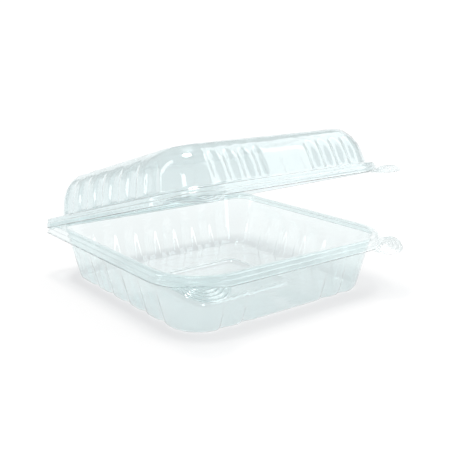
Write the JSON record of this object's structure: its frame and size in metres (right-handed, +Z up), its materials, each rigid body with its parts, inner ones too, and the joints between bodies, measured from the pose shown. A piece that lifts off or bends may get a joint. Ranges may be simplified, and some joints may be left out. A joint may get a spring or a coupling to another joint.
{
  "type": "hinged take-out food pack",
  "caption": "Clear thermoformed food pack: a square fluted tray and a domed fluted lid joined by a crease hinge, with ridged finger tabs at the front corners.",
  "frame": {"origin": "centre of the tray's underside, on the surface it stands on", "axes": "+Z up, -Y towards the front with the finger tabs, +Y towards the hinge, +X to the right seen from the front"},
  "size_m": [0.21, 0.2144, 0.1256],
  "materials": {
    "clear_plastic": "clear, glossy"
  },
  "bodies": {
    "tray": {"base_tray": "clear_plastic"},
    "lid": {"lid": "clear_plastic"}
  },
  "joints": [
    {"name": "lid_hinge", "type": "hinge", "parent": "tray", "child": "lid", "pos_m": [0, 0.1025, 0.0386], "axis": [-1, 0, 0], "range_deg": [-16.5, 163.5]}
  ]
}
